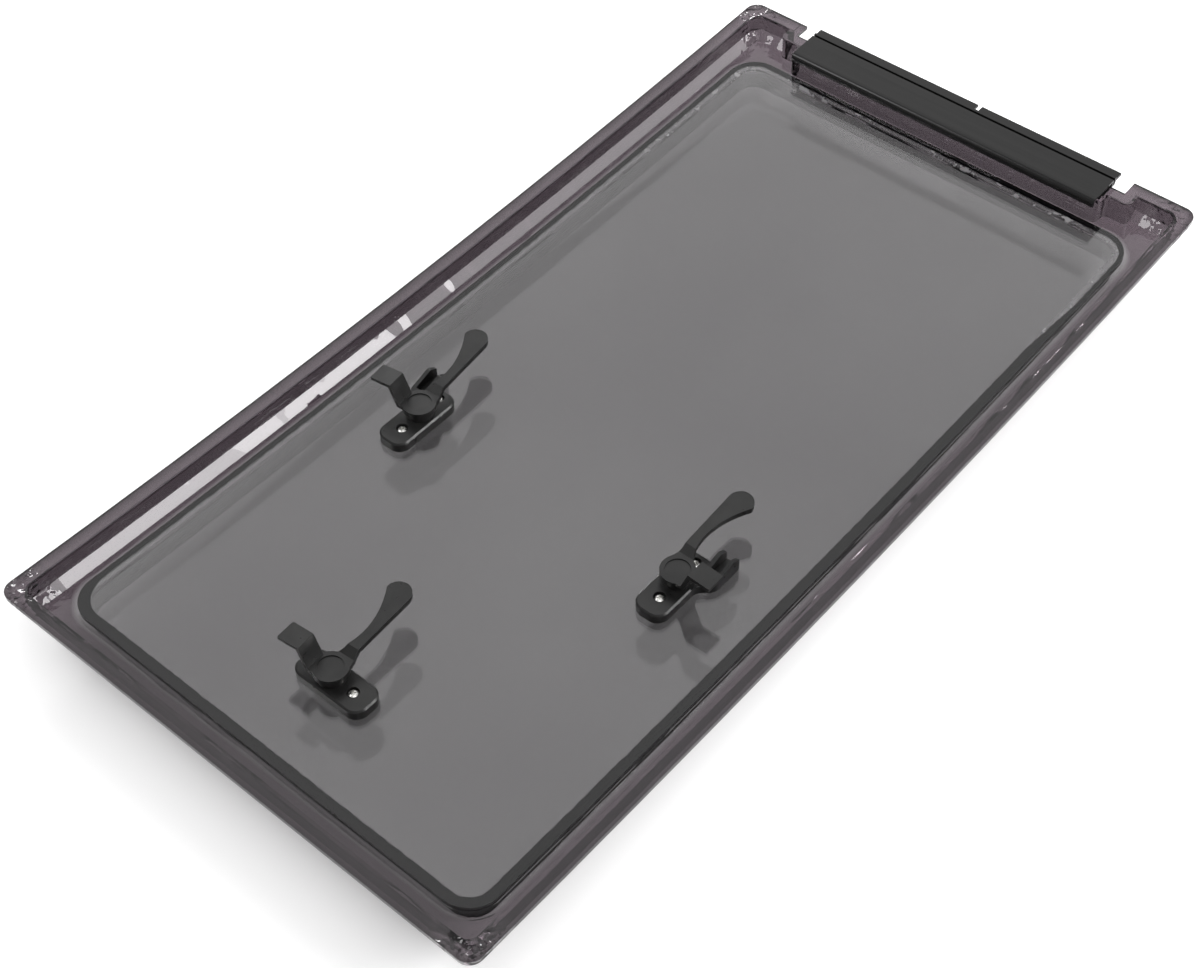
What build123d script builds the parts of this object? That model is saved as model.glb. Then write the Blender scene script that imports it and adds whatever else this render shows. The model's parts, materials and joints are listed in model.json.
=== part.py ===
"""Top-hung, double-skin push-out window pane with a hinge rail and three quarter-turn catches.

Frame: X across the pane, Y along it towards the hinge, Z from the street side up to the room side.
The whole pane is bowed about an axis parallel to X, hollow towards the room.
A height means the distance from the street face towards the room, measured square to the bow.
"""
import math
import os

from build123d import *

# Pane
pane_width = 450.0
pane_length = 861.5
bow_radius = 8000.0
sheet = 3.0
rim_corner = 11.0

# Heights over the street face
ledge_top = 21.0
seam_thickness = 1.0
rim_top = 42.0
flange_thickness = 4.0

# Border: distances in from the outline
rim_lip = 12.0
wall_corner = 9.0
wall_foot = 7.0
inner_side = 28.0
inner_bottom = 30.0
inner_corner = 25.0
seam_width = 9.0

# Hinge end: flange cut back along the rail, land under the rail, ledge in front of the land
notch_width = 14.0
cutback_depth = 15.0
shoulder_width = 10.5
land_depth = 38.5
land_margin = 4.0
land_round = 5.0
hinge_ledge = 5.0

# Hinge rail: hollow cover on the land, hook strip behind it
rail_length = 304.0
rail_shift = 2.0
cover_overhang = 6.2
cover_height = 7.0
cover_wall = 1.5
cover_nose = 4.5
groove_width = 2.0
ridge_offset = 3.2
ridge_width = 2.0
ridge_height = 7.3
hook_foot = 14.0
hook_foot_thickness = 1.5
hook_reach = 13.2
hook_height = 5.6
hook_thickness = 2.2
slit_offset = 15.0
slit_width = 4.0
slit_depth = 6.0
bedding = 0.5
seat_gap = 0.02
overcut = 30.0

# Catches: base along u, tongue along v, height w over the inner pane
catch_inset = 71.5
side_catch_up = 320.0
bottom_catch_up = 103.0
base_length = 65.0
base_width = 27.0
base_height = 8.5
base_corner = 10.0
base_shift = -4.0
base_edge = 1.2
screw_spacing = 40.0
screw_radius = 2.0
screw_head_radius = 4.0
screw_head_height = 2.4
screw_reach = 8.0
counterbore_depth = 3.5
counterbore_clearance = 0.6
screw_clearance = 0.1
pillar_radius = 10.5
pillar_height = 6.0
spigot_radius = 4.0
spigot_height = 3.0
running_clearance = 0.05
end_clearance = 0.5

# Fork beside the base: where it starts, how it flares out, ramps up and is slotted
fork_start = 11.0
fork_length = 29.0
fork_overlap = 4.0
fork_reach = 10.5
fork_height = 6.0
fork_peak = 0.78
fork_drop = 4.0
fork_round = 2.5
fork_slot = 8.0
fork_slot_start = 6.0
fork_flare = 12.0

# Lever: hub, paddle on one side, bent tongue on the other
hub_radius = 13.0
hub_height = 5.0
dish_radius = 9.5
dish_depth = 0.8
paddle_length = 81.0
paddle_rise = 9.0
paddle_step = 5.0
paddle_thickness = 4.5
paddle_tip = 10.0
paddle_neck = 4.0
paddle_bend = 7.0
paddle_back = 8.5
paddle_waist = 1.5
tongue_width = 16.0
tongue_start = 12.0
tongue_slope = 6.5
tongue_reach = 36.0
tongue_rise = 17.5
tongue_droop = 1.0
tongue_thickness = 3.0
tongue_shift = -3.0

inner_top = ledge_top + seam_thickness + sheet
half_length = pane_length / 2
cutback_width = rail_length + 2 * notch_width
inner_hinge = land_depth + hinge_ledge
inner_width = pane_width - 2 * inner_side
inner_length = pane_length - inner_bottom - inner_hinge
inner_shift = (inner_bottom - inner_hinge) / 2
catch_x = inner_width / 2 - catch_inset
side_catch_y = side_catch_up - half_length
bottom_catch_y = bottom_catch_up - half_length


def bow_z(y, height):
    """Z of the bowed surface at this height, at a place along the pane."""
    return bow_radius - math.sqrt((bow_radius - height) ** 2 - y * y)


def on_bow(x, y, height):
    """A place on the bowed surface, tilted with it."""
    tilt = math.degrees(math.asin(y / (bow_radius - height)))
    return Pos(x, y, bow_z(y, height)) * Rot(tilt, 0, 0)


def bowed(plan, low, high):
    """The bowed layer between two heights, cut to a plan."""
    reach = half_length + overcut
    with BuildPart(mode=Mode.PRIVATE) as layer:
        with BuildSketch(Plane.YZ):
            with BuildLine():
                ends = []
                for height in (low, high):
                    tip = (reach, bow_z(reach, height))
                    ThreePointArc((-tip[0], tip[1]), (0, height), tip)
                    ends.append(tip)
                Line(ends[0], ends[1])
                Line((-reach, ends[0][1]), (-reach, ends[1][1]))
            make_face()
        extrude(amount=pane_width, both=True)
        extrude(Pos(0, 0, -rim_top) * plan, amount=6 * rim_top, dir=(0, 0, 1), mode=Mode.INTERSECT)
    return layer.part


def inset_slab(inset, corner, low, high):
    """A bowed slab that follows the pane's outline at an even inset."""
    with BuildSketch(mode=Mode.PRIVATE) as plan:
        RectangleRounded(pane_width - 2 * inset, pane_length - 2 * inset, corner)
    return bowed(plan.sketch, low, high)


def inner_slab(inset, low, high):
    """A bowed slab that follows the inner pane's outline at an even inset."""
    with BuildSketch(mode=Mode.PRIVATE) as plan:
        with Locations((0, inner_shift)):
            RectangleRounded(inner_width - 2 * inset, inner_length - 2 * inset, inner_corner - inset)
    return bowed(plan.sketch, low, high)


def coved(slab, size):
    """A slab with the edges of its lower face cut off at a slant."""
    with BuildPart(mode=Mode.PRIVATE) as piece:
        add(slab)
        chamfer(piece.faces().sort_by(Axis.Z)[0].edges(), size)
    return piece.part


def end_plan(width, depth):
    """A rectangle in plan that reaches in from beyond the hinge end."""
    with BuildSketch(mode=Mode.PRIVATE) as plan:
        with Locations((0, half_length)):
            Rectangle(width, 2 * depth)
    return plan.sketch


def land_plan(inset):
    """The land in plan: a shoulder beside each notch and a deeper tongue under the rail, all rounded."""
    with BuildSketch(mode=Mode.PRIVATE) as plan:
        add(end_plan(cutback_width + 2 * (shoulder_width - inset), cutback_depth + shoulder_width - inset))
        add(end_plan(rail_length + 2 * (land_margin - inset), land_depth - inset))
        fillet([corner for corner in plan.vertices() if corner.Y < half_length], land_round)
    return plan.sketch


def strip(points, thickness):
    """Outline of a bent strip of even thickness along a chain of points."""
    sides = ([], [])
    for i, (x, y) in enumerate(points):
        before = points[max(i - 1, 0)]
        after = points[min(i + 1, len(points) - 1)]
        normals = []
        for a, b in ((before, (x, y)), ((x, y), after)):
            length = math.dist(a, b)
            if length > 0:
                normals.append(((a[1] - b[1]) / length, (b[0] - a[0]) / length))
        nx = sum(n[0] for n in normals)
        ny = sum(n[1] for n in normals)
        scale = thickness * len(normals) / (nx * nx + ny * ny) / 2
        sides[0].append((x + nx * scale, y + ny * scale))
        sides[1].append((x - nx * scale, y - ny * scale))
    return sides[0] + sides[1][::-1]


os.makedirs("parts", exist_ok=True)

# Outer pane: flange, rim wall, ledge and sunken middle in one formed sheet
flange = inset_slab(0, rim_corner, rim_top - flange_thickness, rim_top)
upper_tub = coved(inset_slab(rim_lip - sheet, wall_corner + sheet, ledge_top - sheet, rim_top), wall_foot)
lower_tub = inner_slab(seam_width - sheet, 0, ledge_top)
upper_hollow = coved(inset_slab(rim_lip, wall_corner, ledge_top, rim_top + overcut), wall_foot)
land = bowed(land_plan(0), ledge_top - 1, rim_top + overcut)
lower_hollow = inner_slab(seam_width, sheet, ledge_top + 1)
under_land = bowed(land_plan(sheet), ledge_top - overcut, rim_top - sheet)
cutback = bowed(end_plan(cutback_width, cutback_depth), ledge_top - overcut, rim_top + overcut)

with BuildPart() as outer_pane:
    add(flange)
    add(upper_tub)
    add(lower_tub)
    add(upper_hollow - land, mode=Mode.SUBTRACT)
    add(lower_hollow, mode=Mode.SUBTRACT)
    add(under_land, mode=Mode.SUBTRACT)
    add(cutback, mode=Mode.SUBTRACT)
outer_pane.part.label = "outer_pane"
export_step(outer_pane.part, "parts/outer_pane.step")

# Bond seam on the ledge and inner pane over it
catch_places = {
    "left": (on_bow(-catch_x, side_catch_y, inner_top) * Rot(0, 0, 90), 1, 6, True),
    "right": (on_bow(catch_x, side_catch_y, inner_top) * Rot(0, 0, 90), -1, 0, True),
    "bottom": (on_bow(0, bottom_catch_y, inner_top) * Rot(0, 0, 180), 1, -86, False),
}
screw_spots = {"front": screw_spacing / 2, "back": -screw_spacing / 2}

with BuildPart() as bond_seam:
    add(inner_slab(0, ledge_top, ledge_top + seam_thickness))
    add(inner_slab(seam_width, ledge_top - 1, ledge_top + seam_thickness + 1), mode=Mode.SUBTRACT)
bond_seam.part.label = "bond_seam"
export_step(bond_seam.part, "parts/bond_seam.step")

with BuildPart() as inner_pane:
    add(inner_slab(0, ledge_top + seam_thickness, inner_top))
    for place, hand, turn, forked in catch_places.values():
        for spot in screw_spots.values():
            with Locations(place * Pos(spot, 0, 0)):
                Cylinder(screw_radius + screw_clearance, 4 * sheet, mode=Mode.SUBTRACT)
inner_pane.part.label = "inner_pane"
export_step(inner_pane.part, "parts/inner_pane.step")

# Rail profile: s runs from the cut-back edge outwards, h from the land up
rail_plane = Plane(on_bow(rail_shift, half_length - cutback_depth, rim_top))
profile_plane = Plane(rail_plane.origin, x_dir=rail_plane.y_dir, z_dir=rail_plane.x_dir)
cover_front = cutback_depth - land_depth - cover_overhang
cover_back = ridge_offset - groove_width
with BuildSketch(mode=Mode.PRIVATE) as over_land_plan:
    Rectangle(pane_width, pane_length + overcut)
over_land = bowed(over_land_plan.sketch, rim_top + seat_gap, rim_top + overcut)


def cover_outline(inset):
    """The cover's outline with its rounded nose, at an even inset from its outer face."""
    with BuildSketch(mode=Mode.PRIVATE) as outline:
        with Locations((cover_front + inset, -bedding)):
            Rectangle(cover_back - cover_front - 2 * inset, cover_height + bedding - inset,
                      align=(Align.MIN, Align.MIN))
        fillet(outline.vertices().group_by(Axis.Y)[-1].sort_by(Axis.X)[0], cover_nose - inset)
    return outline.sketch


with BuildPart() as hinge_rail:
    with BuildSketch(profile_plane):
        add(cover_outline(0))
        add(cover_outline(cover_wall), mode=Mode.SUBTRACT)
        with Locations((cover_back, hook_foot_thickness)):
            Rectangle(4 * cover_wall, 2 * (hook_foot_thickness + bedding), align=(Align.CENTER, Align.MAX),
                      mode=Mode.SUBTRACT)
        with Locations((-hook_foot - 2 * cover_wall, -bedding)):
            Rectangle(cover_wall, cover_height + bedding - cover_wall / 2, align=(Align.MAX, Align.MIN))
    extrude(amount=rail_length / 2, both=True)
    add(over_land, mode=Mode.INTERSECT)
hinge_rail.part.label = "hinge_rail"
export_step(hinge_rail.part, "parts/hinge_rail.step")

with BuildPart() as hinge_hook:
    ridge_end = ridge_offset + ridge_width
    foot_top = hook_foot_thickness - seat_gap
    with BuildSketch(profile_plane):
        with BuildLine():
            Polyline(
                (-hook_foot, -bedding), (ridge_offset, -bedding), (ridge_end, hook_height - hook_thickness),
                (hook_reach, hook_height - hook_thickness), (hook_reach, hook_height),
                (ridge_end, hook_height), (ridge_end, ridge_height), (ridge_offset, ridge_height),
                (ridge_offset, foot_top), (-hook_foot, foot_top), close=True,
            )
        make_face()
    extrude(amount=rail_length / 2, both=True)
    with Locations(rail_plane.location * Pos(slit_offset, hook_reach, hook_height)):
        Box(slit_width, 2 * slit_depth, 4 * hook_thickness, mode=Mode.SUBTRACT)
    add(over_land, mode=Mode.INTERSECT)
hinge_hook.part.label = "hinge_hook"
export_step(hinge_hook.part, "parts/hinge_hook.step")


def placed(part, place, hand):
    """A catch piece brought from its own frame to its place, mirrored for the other hand."""
    piece = part if hand > 0 else mirror(part, about=Plane.XZ)
    return place * piece


base_reach = max(base_length / 2 - base_shift, fork_start + fork_length)
base_lift = base_reach ** 2 / (2 * (bow_radius - inner_top)) + seat_gap
hub_bottom = base_height + pillar_height + end_clearance
hub_top = hub_bottom + hub_height
base_side = base_width / 2
fork_inner = base_side - fork_overlap
fork_outer = base_side + fork_reach
fork_end = fork_start + fork_length
flare_start = fork_start - fork_flare
flare_end = fork_start + fork_flare / 2
ramp_top = base_height + fork_height


def fork_plan():
    """The fork in plan: it swings out from the base's side and runs on straight."""
    with BuildSketch(mode=Mode.PRIVATE) as plan:
        with BuildLine():
            Polyline((fork_end, fork_outer), (fork_end, fork_inner), (flare_start, fork_inner),
                     (flare_start, base_side))
            Spline((flare_start, base_side), (flare_end, fork_outer), tangents=((1, 0), (1, 0)))
            Line((flare_end, fork_outer), (fork_end, fork_outer))
        make_face()
    return plan.sketch


def over_ramp(floor, foot):
    """The space over the fork's ramp seen from the side, rounded where the prongs peak."""
    peak = fork_start + fork_length * fork_peak
    with BuildSketch(mode=Mode.PRIVATE) as space:
        with BuildLine():
            Polyline((flare_start - 1, floor), (foot, floor), (peak, ramp_top),
                     (fork_end + 1, ramp_top - fork_drop), (fork_end + 1, ramp_top + 1),
                     (flare_start - 1, ramp_top + 1), close=True)
        make_face()
        fillet([corner for corner in space.vertices() if abs(corner.X - peak) < 0.01], fork_round)
    return space.sketch


def base_body(forked):
    """A catch base in its own frame: plate, pillar with its spigot, and the fork where there is one."""
    with BuildPart(mode=Mode.PRIVATE) as body:
        with BuildSketch(Plane.XY.offset(base_lift)):
            with Locations((base_shift, 0)):
                RectangleRounded(base_length, base_width, base_corner)
        extrude(amount=base_height - base_lift)
        chamfer(body.faces().sort_by(Axis.Z)[-1].edges(), base_edge)
        with BuildSketch(Plane.XY.offset(base_height)):
            Circle(pillar_radius)
        extrude(amount=pillar_height)
        with BuildSketch(Plane.XY.offset(base_height + pillar_height)):
            Circle(spigot_radius)
        extrude(amount=spigot_height)
        if forked:
            extrude(Pos(0, 0, base_lift) * fork_plan(), amount=ramp_top, dir=(0, 0, 1))
            with BuildSketch(Plane.XZ.offset(-fork_outer - 1)):
                add(over_ramp(base_height - base_edge, fork_start + 2))
            extrude(amount=fork_outer + 1 - base_side, mode=Mode.SUBTRACT)
            with BuildSketch(Plane.XZ.offset(-base_side)):
                add(over_ramp(base_height, fork_start + 3))
            extrude(amount=fork_overlap, mode=Mode.SUBTRACT)
            with Locations((fork_start + fork_slot_start, (fork_inner + fork_outer) / 2, base_height / 2)):
                Box(fork_length, fork_slot, ramp_top, align=(Align.MIN, Align.CENTER, Align.MIN),
                    mode=Mode.SUBTRACT)
        for spot in screw_spots.values():
            with Locations((spot, 0, base_height)):
                Cylinder(screw_head_radius + counterbore_clearance, 2 * counterbore_depth, mode=Mode.SUBTRACT)
                Cylinder(screw_radius + screw_clearance, 4 * base_height, mode=Mode.SUBTRACT)
    return body.part


def lever_body():
    """A lever in its own frame: hub over the pillar, paddle along u, bent tongue along v."""
    tip_middle = paddle_length - paddle_tip
    neck = hub_radius + paddle_neck
    bend = hub_radius + paddle_bend
    root = hub_top - paddle_thickness / 2
    with BuildPart(mode=Mode.PRIVATE) as body:
        with BuildSketch(Plane.XY):
            with BuildLine():
                Polyline((0, 0.5 - hub_radius), (neck, -paddle_back), (tip_middle, -paddle_tip))
                ThreePointArc((tip_middle, -paddle_tip), (paddle_length, 0), (tip_middle, paddle_tip))
                Spline((tip_middle, paddle_tip), (tip_middle * 0.74, paddle_waist),
                       (tip_middle * 0.48, -paddle_waist), (neck, paddle_waist))
                Polyline((neck, paddle_waist), (0, hub_radius - 1), (0, 0.5 - hub_radius))
            make_face()
        extrude(amount=2 * hub_top)
        with BuildSketch(Plane.XZ.offset(-paddle_length)):
            with BuildLine():
                Polyline(*strip([(-1, root), (hub_radius + 1, root), (bend, root + paddle_step),
                                 (paddle_length + 1, root + paddle_rise)], paddle_thickness), close=True)
            make_face()
        extrude(amount=2 * paddle_length, mode=Mode.INTERSECT)
        with BuildSketch(Plane.XY.offset(hub_bottom)):
            Circle(hub_radius)
        extrude(amount=hub_height)
        with BuildSketch(Plane.YZ.offset(tongue_shift - tongue_width / 2)):
            foot = hub_top - tongue_thickness / 2
            crest = tongue_start + tongue_slope
            with BuildLine():
                Polyline(*strip([(spigot_radius, foot), (tongue_start, foot), (crest, foot + tongue_rise),
                                 (tongue_reach, foot + tongue_rise - tongue_droop)],
                                tongue_thickness), close=True)
            make_face()
        extrude(amount=tongue_width)
        with BuildSketch(Plane.XY.offset(hub_bottom)):
            Circle(spigot_radius + running_clearance)
        extrude(amount=spigot_height, mode=Mode.SUBTRACT)
        with BuildSketch(Plane.XY.offset(hub_top - dish_depth)):
            Circle(dish_radius)
        extrude(amount=2 * dish_depth, mode=Mode.SUBTRACT)
    return body.part


# Catches: base, lever and two screws at each place
for name, (place, hand, turn, forked) in catch_places.items():
    base_piece = placed(base_body(forked), place, hand)
    with BuildPart() as catch_base:
        add(base_piece)
    catch_base.part.label = f"{name}_catch_base"
    export_step(catch_base.part, f"parts/{name}_catch_base.step")

    lever_piece = placed(Rot(0, 0, turn) * lever_body(), place, hand)
    with BuildPart() as catch_lever:
        add(lever_piece)
    catch_lever.part.label = f"{name}_catch_lever"
    export_step(catch_lever.part, f"parts/{name}_catch_lever.step")

    for end, spot in screw_spots.items():
        head_seat = base_height - counterbore_depth
        with BuildPart() as catch_screw:
            with Locations(place * Pos(spot, 0, head_seat + screw_head_height / 2)):
                Cylinder(screw_head_radius, screw_head_height)
            with Locations(place * Pos(spot, 0, (head_seat - screw_reach) / 2)):
                Cylinder(screw_radius, head_seat + screw_reach)
        catch_screw.part.label = f"{name}_{end}_screw"
        export_step(catch_screw.part, f"parts/{name}_{end}_screw.step")
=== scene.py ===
"""Looks of a hinged, double-skin camper window that lies on a pale floor, room side up."""

import json
import math

import bmesh
import bpy
from mathutils import Matrix, Vector


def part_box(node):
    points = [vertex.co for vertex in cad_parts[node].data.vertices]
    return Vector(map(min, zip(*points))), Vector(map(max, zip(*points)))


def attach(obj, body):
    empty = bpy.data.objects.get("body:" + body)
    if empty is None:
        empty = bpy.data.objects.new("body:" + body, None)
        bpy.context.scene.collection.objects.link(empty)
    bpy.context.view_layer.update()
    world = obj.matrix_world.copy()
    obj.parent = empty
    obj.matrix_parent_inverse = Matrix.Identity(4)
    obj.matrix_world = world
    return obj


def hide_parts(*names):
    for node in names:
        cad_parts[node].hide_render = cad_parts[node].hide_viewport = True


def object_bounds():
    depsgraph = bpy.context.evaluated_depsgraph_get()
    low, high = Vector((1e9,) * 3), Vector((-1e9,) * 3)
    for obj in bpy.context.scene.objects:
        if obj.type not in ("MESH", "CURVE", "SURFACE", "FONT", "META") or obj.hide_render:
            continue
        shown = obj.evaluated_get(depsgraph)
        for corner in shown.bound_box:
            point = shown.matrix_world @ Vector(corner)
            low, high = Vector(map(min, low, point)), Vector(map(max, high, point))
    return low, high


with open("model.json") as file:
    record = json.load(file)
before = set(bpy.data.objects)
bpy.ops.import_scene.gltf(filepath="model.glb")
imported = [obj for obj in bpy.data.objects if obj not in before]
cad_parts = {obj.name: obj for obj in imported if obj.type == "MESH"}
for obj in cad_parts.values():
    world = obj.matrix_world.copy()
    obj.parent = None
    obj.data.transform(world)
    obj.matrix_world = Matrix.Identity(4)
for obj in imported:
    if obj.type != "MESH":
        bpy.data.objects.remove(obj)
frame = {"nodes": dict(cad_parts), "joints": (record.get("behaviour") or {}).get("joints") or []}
cad_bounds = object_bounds()
nodes = frame["nodes"]

# Camera: metres and degrees
CAMERA_PLACE = (0.6761, -0.7950, 1.1738)
CAMERA_TURN = (40.315, 1.451, 40.501)
CAMERA_LENS = 61.135

# Acrylic and its adhesive
ACRYLIC_IOR = 1.49

# Formed corners: how far in from the sides their crinkles reach, metres, and how deep they are
CRINKLE_REACH = 0.040
CRINKLE_DEPTH = 9.0

# Border of the outer pane: depth of its waves, where it starts, metres, and its tint, darker partly for the
# thicker single sheet and partly as painted shade
WAVE_DEPTH = 2.4
BORDER_FADE = 0.006
BORDER_TINT_AND_SHADE = (0.38, 0.31, 0.355)

# Rim: corner radius and width of the painted shade along its edge, metres, how dark that painted shade and
# the painted shade on the sloped walls are, and the slopes over which the wall shade fades in
RIM_CORNER = 0.011
RIM_SHADE_WIDTH = 0.007
RIM_SHADE = 0.45
WALL_SHADE = 0.55
WALL_SLOPE = (0.3, 0.9)

# Inner pane: corner radius of its outline, metres
INNER_CORNER = 0.025

# Bond, metres: least and greatest width of its dark edge, how ragged and soft that is, and its wetting
BOND_EDGE = 0.0024
BOND_WIDE = 0.0072
BOND_RAGGED = 0.0025
BOND_SOFT = 0.0008
BOND_WETTING = 0.00006

# Bond: where along X and Y its wide sides start, where they end, and where the flecks start, metres
WIDE_FROM_X = (0.12, 0.18)
WIDE_FROM_Y = (-0.37, -0.385)
WIDE_UP_TO_Y = (0.30, 0.24)
FLECKS_FROM_Y = (0.10, 0.36)
FLECKS = (0.57, 0.61)

# Screws: metres
SCREW_SEGMENTS = 40
HEAD_HEIGHT = 0.0024
HEAD_GAP = 0.0001
RECESS_WIDTH = 0.0013
RECESS_REACH = 0.0028
RECESS_DEPTH = 0.0016

# Studio: half the floor's side, metres, its own glow, and the world's strength
FLOOR_REACH = 12.0
FLOOR_GLOW = 0.22
WORLD_STRENGTH = 0.45


def new_material(name):
    """A node material with its Principled shader and its object-space coordinates."""
    material = bpy.data.materials.new(name)
    material.use_nodes = True
    tree = material.node_tree
    shader = tree.nodes["Principled BSDF"]
    place = tree.nodes.new("ShaderNodeTexCoord").outputs["Object"]
    return material, tree, shader, place


def noise(tree, place, scale, detail=3.0, stretch=(1, 1, 1)):
    """Noise in object space; stretch below 1 draws it out along that axis."""
    mapping = tree.nodes.new("ShaderNodeMapping")
    mapping.inputs["Scale"].default_value = stretch
    texture = tree.nodes.new("ShaderNodeTexNoise")
    texture.inputs["Scale"].default_value = scale
    texture.inputs["Detail"].default_value = detail
    tree.links.new(place, mapping.inputs["Vector"])
    tree.links.new(mapping.outputs["Vector"], texture.inputs["Vector"])
    return texture.outputs["Fac"]


def ramp(tree, value, low, high, start=0.3, end=0.7):
    """A colour or grey that runs from low to high as the value goes from start to end."""
    node = tree.nodes.new("ShaderNodeValToRGB")
    stops = node.color_ramp.elements
    stops[0].position, stops[1].position = start, end
    for stop, colour in zip(stops, (low, high)):
        if isinstance(colour, (int, float)):
            colour = (colour, colour, colour)
        stop.color = (*colour, 1)
    tree.links.new(value, node.inputs["Fac"])
    return node.outputs["Color"]


def bump(tree, shader, value, strength, depth):
    """Surface relief from a value, depth in metres."""
    node = tree.nodes.new("ShaderNodeBump")
    node.inputs["Strength"].default_value = strength
    node.inputs["Distance"].default_value = depth
    tree.links.new(value, node.inputs["Height"])
    tree.links.new(node.outputs["Normal"], shader.inputs["Normal"])


def between(tree, value, start, end, low=0.0, high=1.0):
    """Low up to start, high from end on, and a straight run between them."""
    node = tree.nodes.new("ShaderNodeMapRange")
    node.inputs["From Min"].default_value = start
    node.inputs["From Max"].default_value = end
    node.inputs["To Min"].default_value = low
    node.inputs["To Max"].default_value = high
    tree.links.new(value, node.inputs["Value"])
    return node.outputs["Result"]


def combine(tree, operation, first, second, third=None):
    """One step of arithmetic on sockets or plain numbers."""
    node = tree.nodes.new("ShaderNodeMath")
    node.operation = operation
    for number, value in enumerate((first, second, third)):
        if isinstance(value, (int, float)):
            node.inputs[number].default_value = value
        elif value is not None:
            tree.links.new(value, node.inputs[number])
    return node.outputs["Value"]


def vector_step(tree, operation, vector, amount=(0, 0, 0)):
    """One step of vector arithmetic."""
    node = tree.nodes.new("ShaderNodeVectorMath")
    node.operation = operation
    node.inputs[1].default_value = amount
    tree.links.new(vector, node.inputs[0])
    return node.outputs["Value" if operation == "LENGTH" else "Vector"]


def axes(tree, vector):
    """The X, Y and Z of a vector."""
    parts = tree.nodes.new("ShaderNodeSeparateXYZ")
    tree.links.new(vector, parts.inputs["Vector"])
    return parts.outputs


def corner_mask(tree, place):
    """1 at the formed corners of the pane, 0 elsewhere."""
    size = axes(tree, vector_step(tree, "ABSOLUTE", place))
    edge_x, edge_y = cad_bounds[1][:2]
    return combine(tree, "MULTIPLY",
                   between(tree, size["X"], edge_x - CRINKLE_REACH, edge_x - CRINKLE_REACH / 2),
                   between(tree, size["Y"], edge_y - CRINKLE_REACH, edge_y - CRINKLE_REACH / 2))


def outline_depth(tree, place, pane, corner_radius):
    """How far a point lies inside the rounded outline of a pane, metres."""
    low, high = (Vector(corner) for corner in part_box(pane))
    middle, half = (low + high) / 2, (high - low) / 2
    inset = (half.x - corner_radius, half.y - corner_radius, 10)
    offset = vector_step(tree, "ABSOLUTE", vector_step(tree, "SUBTRACT", place, (middle.x, middle.y, 0)))
    beyond = vector_step(tree, "MAXIMUM", vector_step(tree, "SUBTRACT", offset, inset))
    return combine(tree, "SUBTRACT", corner_radius, vector_step(tree, "LENGTH", beyond))


def acrylic(name, light, dark, crinkled=False):
    """Clear smoked sheet: faint tone drift, polish marks and the slow waves of a formed sheet; when
    crinkled, also painted shade on the rim's edge and on the sloped walls, and a darker border tint that is
    partly the thicker sheet's own tone and partly painted shade.
    """
    material, tree, shader, place = new_material(name)
    shader.inputs["Transmission Weight"].default_value = 1.0
    shader.inputs["IOR"].default_value = ACRYLIC_IOR
    tint = ramp(tree, noise(tree, place, 3.0), dark, light)
    tree.links.new(ramp(tree, noise(tree, place, 40.0, 4.0), 0.0, 0.004), shader.inputs["Roughness"])
    relief = noise(tree, place, 9.0, 1.0)
    if crinkled:
        # Painted shade: the rim darkens towards its outer edge.
        rim = between(tree, outline_depth(tree, place, "outer_pane", RIM_CORNER), 0.0, RIM_SHADE_WIDTH,
                      RIM_SHADE, 1.0)
        # Painted shade: sloped walls are darker than flat faces, set by the way each face points.
        facing = axes(tree, tree.nodes.new("ShaderNodeNewGeometry").outputs["Normal"])
        wall_painted_shade = between(tree, combine(tree, "ABSOLUTE", facing["Z"], 0.0), *WALL_SLOPE, WALL_SHADE, 1.0)
        border = between(tree, outline_depth(tree, place, "inner_pane", INNER_CORNER), 0.0, -BORDER_FADE)
        # Border tint: partly the thicker single sheet's own darker plum tone, partly painted shade.
        border_tone_and_shade = ramp(tree, border, (1, 1, 1), BORDER_TINT_AND_SHADE, 0.0, 1.0)
        for operation, socket, factor in (("MULTIPLY", 1, border_tone_and_shade),
                                          ("SCALE", "Scale", combine(tree, "MULTIPLY", rim, wall_painted_shade))):
            shade = tree.nodes.new("ShaderNodeVectorMath")
            shade.operation = operation
            tree.links.new(tint, shade.inputs[0])
            tree.links.new(factor, shade.inputs[socket])
            tint = shade.outputs["Vector"]
        waves = combine(tree, "MULTIPLY", noise(tree, place, 24.0, 1.0), WAVE_DEPTH)
        relief = combine(tree, "MULTIPLY_ADD", waves, border, relief)
        folds = combine(tree, "MULTIPLY", noise(tree, place, 75.0, 2.0), CRINKLE_DEPTH)
        relief = combine(tree, "MULTIPLY_ADD", folds, corner_mask(tree, place), relief)
    tree.links.new(tint, shader.inputs["Base Color"])
    bump(tree, shader, relief, 0.6 if crinkled else 0.2, 0.0012 if crinkled else 0.0006)
    return material


def moulded_black(name, grain):
    """Satin black moulding: fine spark-eroded grain, uneven sheen."""
    material, tree, shader, place = new_material(name)
    shader.inputs["Specular IOR Level"].default_value = 0.38
    tone = noise(tree, place, 60.0)
    tree.links.new(ramp(tree, tone, (0.006, 0.006, 0.006), (0.014, 0.0137, 0.0135)),
                   shader.inputs["Base Color"])
    tree.links.new(ramp(tree, noise(tree, place, 150.0), 0.27, 0.38), shader.inputs["Roughness"])
    bump(tree, shader, noise(tree, place, grain, 2.0), 0.35, 0.00012)
    return material


def extruded_black(name):
    """Satin black extrusion with faint draw lines along X."""
    material, tree, shader, place = new_material(name)
    shader.inputs["Specular IOR Level"].default_value = 0.3
    lines = noise(tree, place, 500.0, 2.0, stretch=(0.01, 1, 1))
    tree.links.new(ramp(tree, lines, (0.007, 0.007, 0.007), (0.012, 0.0117, 0.0115)),
                   shader.inputs["Base Color"])
    tree.links.new(ramp(tree, noise(tree, place, 80.0), 0.17, 0.25), shader.inputs["Roughness"])
    bump(tree, shader, lines, 0.05, 0.00003)
    return material


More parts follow.
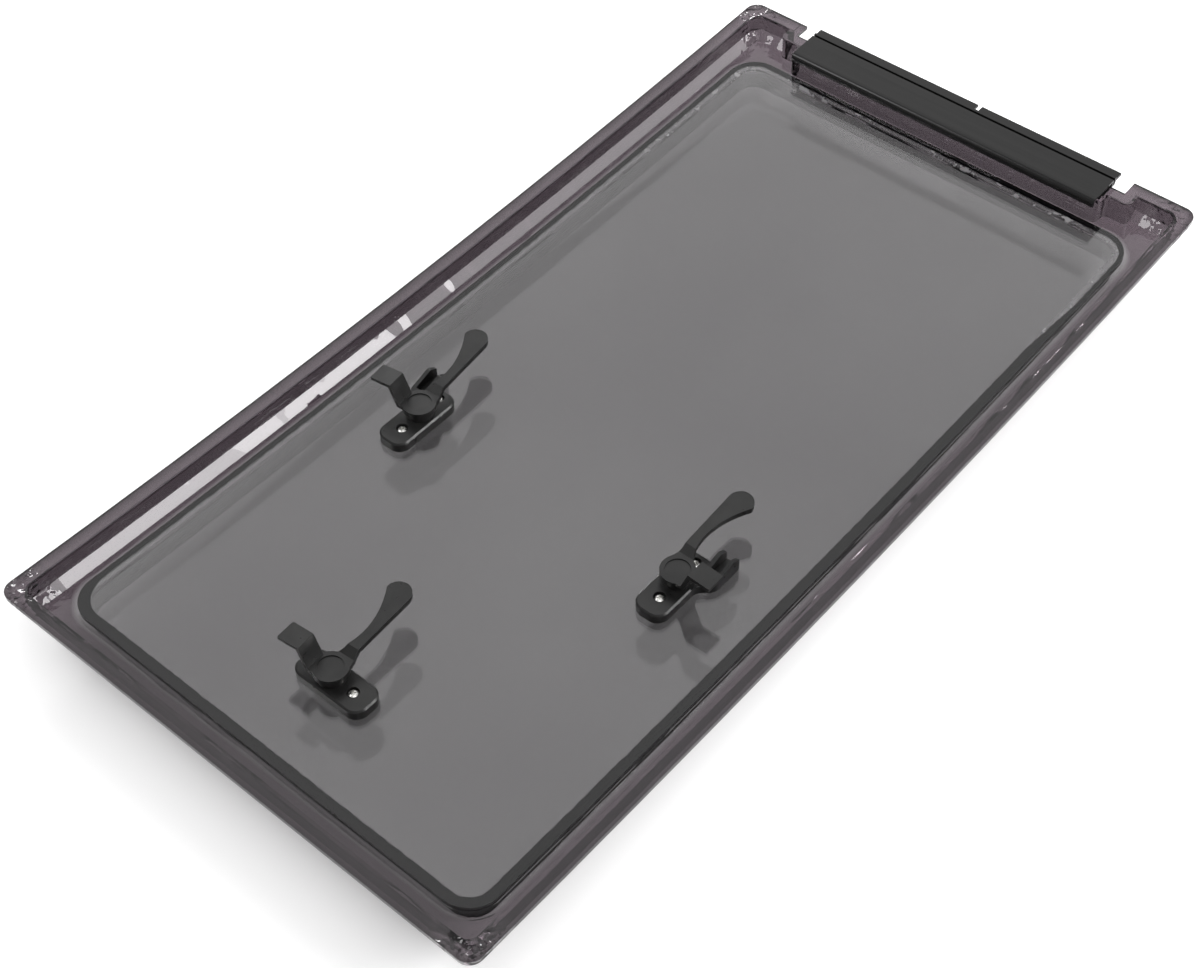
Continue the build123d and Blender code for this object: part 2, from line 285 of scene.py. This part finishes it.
def plated_steel(name):
    """Bright zinc plate with small dull patches."""
    material, tree, shader, place = new_material(name)
    shader.inputs["Metallic"].default_value = 1.0
    patches = noise(tree, place, 700.0)
    tree.links.new(ramp(tree, patches, (0.62, 0.61, 0.58), (0.86, 0.86, 0.84)), shader.inputs["Base Color"])
    tree.links.new(ramp(tree, patches, 0.34, 0.18), shader.inputs["Roughness"])
    bump(tree, shader, noise(tree, place, 1500.0), 0.1, 0.00005)
    return material


def bond_clear(name):
    """Clear adhesive bead, dark along two sides, with pale flecks of trapped air towards the hinge."""
    material, tree, shader, place = new_material(name)
    shader.inputs["IOR"].default_value = ACRYLIC_IOR
    shader.inputs["Specular IOR Level"].default_value = 0.05
    at = axes(tree, place)
    wide = combine(tree, "MAXIMUM", between(tree, at["X"], *WIDE_FROM_X),
                   between(tree, at["Y"], *WIDE_FROM_Y))
    wide = combine(tree, "MULTIPLY", wide, between(tree, at["Y"], *WIDE_UP_TO_Y))
    ragged = combine(tree, "MULTIPLY", noise(tree, place, 170.0, 4.0), BOND_RAGGED)
    edge = combine(tree, "MULTIPLY_ADD", wide, BOND_WIDE - BOND_EDGE, BOND_EDGE)
    edge = combine(tree, "ADD", edge, ragged)
    depth = combine(tree, "SUBTRACT", outline_depth(tree, place, "inner_pane", INNER_CORNER), edge)
    inside = between(tree, depth, 0.0, BOND_SOFT)
    flecks = between(tree, noise(tree, place, 120.0, 4.0), *FLECKS)
    flecks = combine(tree, "MULTIPLY", flecks, between(tree, at["Y"], *FLECKS_FROM_Y))
    clear = combine(tree, "MULTIPLY", inside, combine(tree, "SUBTRACT", 1.0, flecks))
    tree.links.new(clear, shader.inputs["Transmission Weight"])
    tree.links.new(ramp(tree, inside, (0.006, 0.005, 0.006), (0.66, 0.65, 0.66), 0.0, 1.0),
                   shader.inputs["Base Color"])
    tree.links.new(ramp(tree, noise(tree, place, 200.0), 0.02, 0.12), shader.inputs["Roughness"])
    bump(tree, shader, noise(tree, place, 160.0), 0.1, 0.0002)
    return material


outer_acrylic = acrylic("outer smoked acrylic", (0.300, 0.292, 0.298), (0.272, 0.265, 0.270), crinkled=True)
inner_acrylic = acrylic("inner clear acrylic", (0.86, 0.855, 0.86), (0.80, 0.79, 0.80))
catch_black = moulded_black("moulded black", 1400.0)
rail_black = extruded_black("extruded black")
screw_steel = plated_steel("plated steel")
bond = bond_clear("clear bond")


def dress(node, material, edge=0.0):
    """Material and soft edges for a CAD node."""
    piece = nodes[node]
    piece.data.materials.clear()
    piece.data.materials.append(material)
    if edge:
        bevel = piece.modifiers.new("soft edges", "BEVEL")
        bevel.width = edge
        bevel.segments = 3
        bevel.limit_method = "ANGLE"
        bevel.angle_limit = math.radians(35)
        bevel.harden_normals = True
    for face in piece.data.polygons:
        face.use_smooth = True


dress("outer_pane", outer_acrylic, 0.0020)
dress("inner_pane", inner_acrylic, 0.0008)
dress("bond_seam", bond)
wetting = nodes["bond_seam"].modifiers.new("wetting", "DISPLACE")
wetting.strength = BOND_WETTING
wetting.mid_level = 0.0
dress("hinge_rail", rail_black, 0.0004)
dress("hinge_hook", rail_black, 0.0007)
for catch in ("left", "right", "bottom"):
    dress(f"{catch}_catch_base", catch_black, 0.0005)
    dress(f"{catch}_catch_lever", catch_black, 0.0008)


def pan_head(name, radius, height):
    """A domed screw head with a cross recess, its seat at the origin and its top along Z."""
    mesh = bmesh.new()
    profile = [(radius * 0.96, 0.0), (radius, height * 0.2), (radius * 0.97, height * 0.45),
               (radius * 0.84, height * 0.75), (radius * 0.58, height * 0.93), (0.0, height)]
    rings = []
    for r, z in profile[:-1]:
        ring = [mesh.verts.new((r * math.cos(a), r * math.sin(a), z))
                for a in (2 * math.pi * k / SCREW_SEGMENTS for k in range(SCREW_SEGMENTS))]
        rings.append(ring)
    mesh.faces.new(list(reversed(rings[0])))
    for low, high in zip(rings, rings[1:]):
        for k in range(SCREW_SEGMENTS):
            j = (k + 1) % SCREW_SEGMENTS
            mesh.faces.new((low[k], low[j], high[j], high[k]))
    crown = mesh.verts.new((0, 0, height))
    for k in range(SCREW_SEGMENTS):
        mesh.faces.new((rings[-1][k], rings[-1][(k + 1) % SCREW_SEGMENTS], crown))
    head = mesh_object(name, mesh)

    cutter = bmesh.new()
    for turn in (0, math.pi / 2):
        made = bmesh.ops.create_cube(cutter, size=1.0)["verts"]
        for vert in made:
            taper = 1.0 if vert.co.z > 0 else 0.55
            vert.co.x *= 2 * RECESS_REACH * taper
            vert.co.y *= RECESS_WIDTH * taper
            vert.co.z *= 2 * RECESS_DEPTH
        bmesh.ops.rotate(cutter, verts=made, cent=(0, 0, 0), matrix=Matrix.Rotation(turn, 3, "Z"))
        bmesh.ops.translate(cutter, verts=made, vec=(0, 0, height))
    recess = mesh_object("recess", cutter)
    cut = head.modifiers.new("recess", "BOOLEAN")
    cut.object = recess
    cut.operation = "DIFFERENCE"
    cut.use_self = True
    bpy.context.view_layer.update()
    finished = bpy.data.meshes.new_from_object(head.evaluated_get(bpy.context.evaluated_depsgraph_get()))
    head.modifiers.clear()
    head.data = finished
    bpy.data.objects.remove(recess)
    return head


def mesh_object(name, mesh):
    """A scene object from a bmesh, which is freed."""
    data = bpy.data.meshes.new(name)
    mesh.normal_update()
    mesh.to_mesh(data)
    mesh.free()
    made = bpy.data.objects.new(name, data)
    bpy.context.scene.collection.objects.link(made)
    return made


# Screws: domed cross-recess heads in place of the plain solids
pivots = {joint["name"].split("_")[0]: joint for joint in frame["joints"]}
for catch, joint in pivots.items():
    normal = Vector(joint["axis"])
    if normal.z < 0:
        normal = -normal
    for number, end in enumerate(("front", "back")):
        node = f"{catch}_{end}_screw"
        low, high = (Vector(corner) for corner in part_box(node))
        radius = (high.x - low.x) / 2
        middle = (low + high) / 2
        top = middle + normal * ((high.z - low.z) / 2 - HEAD_HEIGHT - HEAD_GAP)
        head = pan_head(f"{node}_head", radius, HEAD_HEIGHT)
        turn = Matrix.Rotation(math.radians(20 + 35 * number + 15 * len(catch)), 4, "Z")
        tilt = Vector((0, 0, 1)).rotation_difference(normal).to_matrix().to_4x4()
        head.matrix_world = Matrix.Translation(top) @ tilt @ turn
        head.data.materials.append(screw_steel)
        for face in head.data.polygons:
            face.use_smooth = False
        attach(head, "window")
        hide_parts(node)

# Floor and light
floor_mesh = bmesh.new()
bmesh.ops.create_grid(floor_mesh, x_segments=1, y_segments=1, size=FLOOR_REACH)
floor = mesh_object("floor", floor_mesh)
floor_material, tree, shader, place = new_material("pale floor")
shader.inputs["Roughness"].default_value = 0.9
shader.inputs["Specular IOR Level"].default_value = 0.1
tree.links.new(ramp(tree, noise(tree, place, 2.0), 0.93, 0.95), shader.inputs["Base Color"])
light_path = tree.nodes.new("ShaderNodeLightPath")
seen = light_path.outputs["Is Camera Ray"]
for ray in ("Is Glossy Ray", "Is Transmission Ray"):
    seen = combine(tree, "MAXIMUM", seen, light_path.outputs[ray])
shader.inputs["Emission Color"].default_value = (1, 1, 1, 1)
tree.links.new(combine(tree, "MULTIPLY", seen, FLOOR_GLOW), shader.inputs["Emission Strength"])
floor.data.materials.append(floor_material)

world = bpy.data.worlds.new("studio")
bpy.context.scene.world = world
world.use_nodes = True
world.node_tree.nodes["Background"].inputs["Color"].default_value = (1, 1, 1, 1)
world.node_tree.nodes["Background"].inputs["Strength"].default_value = WORLD_STRENGTH


def softbox(name, place, target, width, height, radiance):
    """A soft rectangular lamp that faces the target, as bright to look at as the radiance says."""
    lamp = bpy.data.lights.new(name, "AREA")
    lamp.shape = "RECTANGLE"
    lamp.size, lamp.size_y = width, height
    lamp.energy = radiance * math.pi * width * height
    made = bpy.data.objects.new(name, lamp)
    made.location = place
    aim = Vector(target) - Vector(place)
    made.rotation_euler = aim.to_track_quat("-Z", "Y").to_euler()
    bpy.context.scene.collection.objects.link(made)


softbox("sky seen in the pane", (-1.5, 1.5, 2.5), (0, 0, 0), 3.0, 3.8, 0.75)
softbox("top", (0.7, -0.4, 2.4), (0, 0, 0), 1.4, 1.4, 1.6)
softbox("right", (1.75, 0.70, 1.20), (0, 0, 0), 0.9, 0.9, 11.0)
softbox("right fade", (1.45, 1.50, 1.22), (0, 0, 0), 1.3, 0.9, 4.0)
softbox("rim", (-1.6, 1.3, 0.75), (0, 0, 0), 0.8, 0.35, 14.0)
softbox("left", (-1.2, -0.9, 1.6), (0, 0, 0), 0.7, 0.7, 7.0)

camera_data = bpy.data.cameras.new("photo view")
camera_data.lens = CAMERA_LENS
camera_data.sensor_width = 36.0
camera = bpy.data.objects.new("photo view", camera_data)
camera.location = CAMERA_PLACE
camera.rotation_euler = [math.radians(angle) for angle in CAMERA_TURN]
bpy.context.scene.collection.objects.link(camera)
bpy.context.scene.camera = camera
bpy.context.scene.view_settings.view_transform = "Standard"
